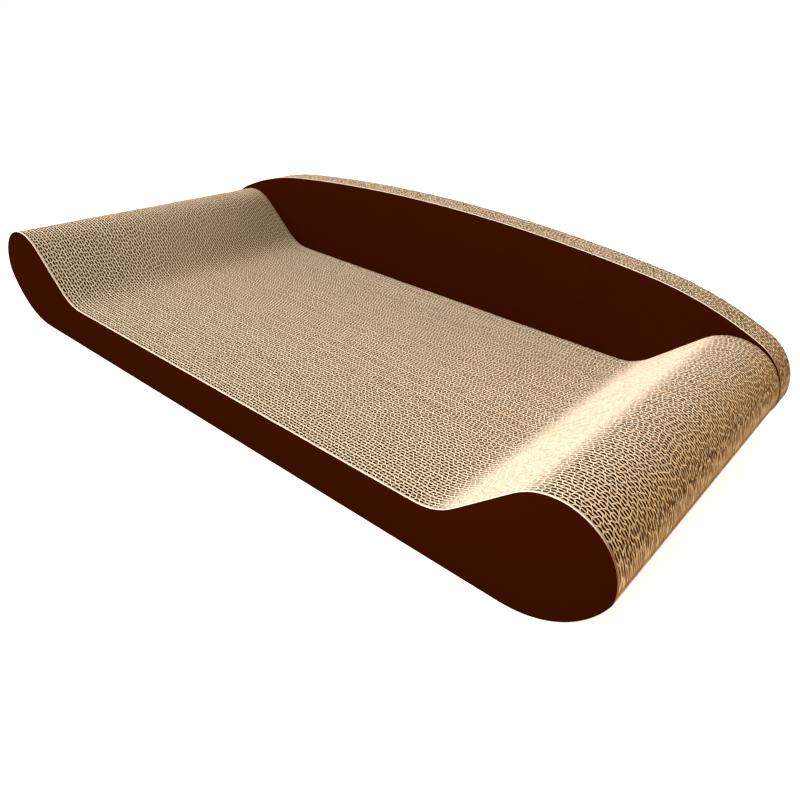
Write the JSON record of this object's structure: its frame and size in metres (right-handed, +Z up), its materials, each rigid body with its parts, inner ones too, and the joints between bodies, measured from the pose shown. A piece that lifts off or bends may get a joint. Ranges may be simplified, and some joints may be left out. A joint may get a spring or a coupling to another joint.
{
  "type": "cat scratcher",
  "caption": "Low scratching lounger of upright corrugated board, with a rolled end on each side and an arched backrest.",
  "frame": {"origin": "on the floor, in the middle of the length and of the depth", "axes": "+X along the lounger to the right, +Y from the front to the backrest, +Z up"},
  "size_m": [0.601, 0.2826, 0.1165],
  "materials": {
    "cover_board": "smooth matt printed brown face with a pale cut edge",
    "corrugated_board": "matt kraft paper, with open flute ends on top"
  },
  "bodies": {
    "root": {"front_cover": "cover_board", "seat_sheet_01": "corrugated_board", "seat_sheet_02": "corrugated_board", "seat_sheet_03": "corrugated_board", "seat_sheet_04": "corrugated_board", "seat_sheet_05": "corrugated_board", "seat_sheet_06": "corrugated_board", "seat_sheet_07": "corrugated_board", "seat_sheet_08": "corrugated_board", "seat_sheet_09": "corrugated_board", "seat_sheet_10": "corrugated_board", "seat_sheet_11": "corrugated_board", "seat_sheet_12": "corrugated_board", "seat_sheet_13": "corrugated_board", "seat_sheet_14": "corrugated_board", "seat_sheet_15": "corrugated_board", "seat_sheet_16": "corrugated_board", "seat_sheet_17": "corrugated_board", "seat_sheet_18": "corrugated_board", "seat_sheet_19": "corrugated_board", "seat_sheet_20": "corrugated_board", "seat_sheet_21": "corrugated_board", "seat_sheet_22": "corrugated_board", "seat_sheet_23": "corrugated_board", "seat_sheet_24": "corrugated_board", "seat_sheet_25": "corrugated_board", "seat_sheet_26": "corrugated_board", "seat_sheet_27": "corrugated_board", "seat_sheet_28": "corrugated_board", "seat_sheet_29": "corrugated_board", "seat_sheet_30": "corrugated_board", "seat_sheet_31": "corrugated_board", "seat_sheet_32": "corrugated_board", "seat_sheet_33": "corrugated_board", "seat_sheet_34": "corrugated_board", "seat_sheet_35": "corrugated_board", "seat_sheet_36": "corrugated_board", "seat_sheet_37": "corrugated_board", "seat_sheet_38": "corrugated_board", "seat_sheet_39": "corrugated_board", "seat_sheet_40": "corrugated_board", "seat_sheet_41": "corrugated_board", "seat_sheet_42": "corrugated_board", "seat_sheet_43": "corrugated_board", "seat_sheet_44": "corrugated_board", "seat_sheet_45": "corrugated_board", "seat_sheet_46": "corrugated_board", "seat_sheet_47": "corrugated_board", "seat_sheet_48": "corrugated_board", "seat_sheet_49": "corrugated_board", "seat_sheet_50": "corrugated_board", "seat_sheet_51": "corrugated_board", "seat_sheet_52": "corrugated_board", "seat_sheet_53": "corrugated_board", "backrest_front_cover": "cover_board", "backrest_sheet_1": "corrugated_board", "backrest_sheet_2": "corrugated_board", "backrest_sheet_3": "corrugated_board", "backrest_sheet_4": "corrugated_board", "backrest_sheet_5": "corrugated_board"}
  },
  "joints": []
}
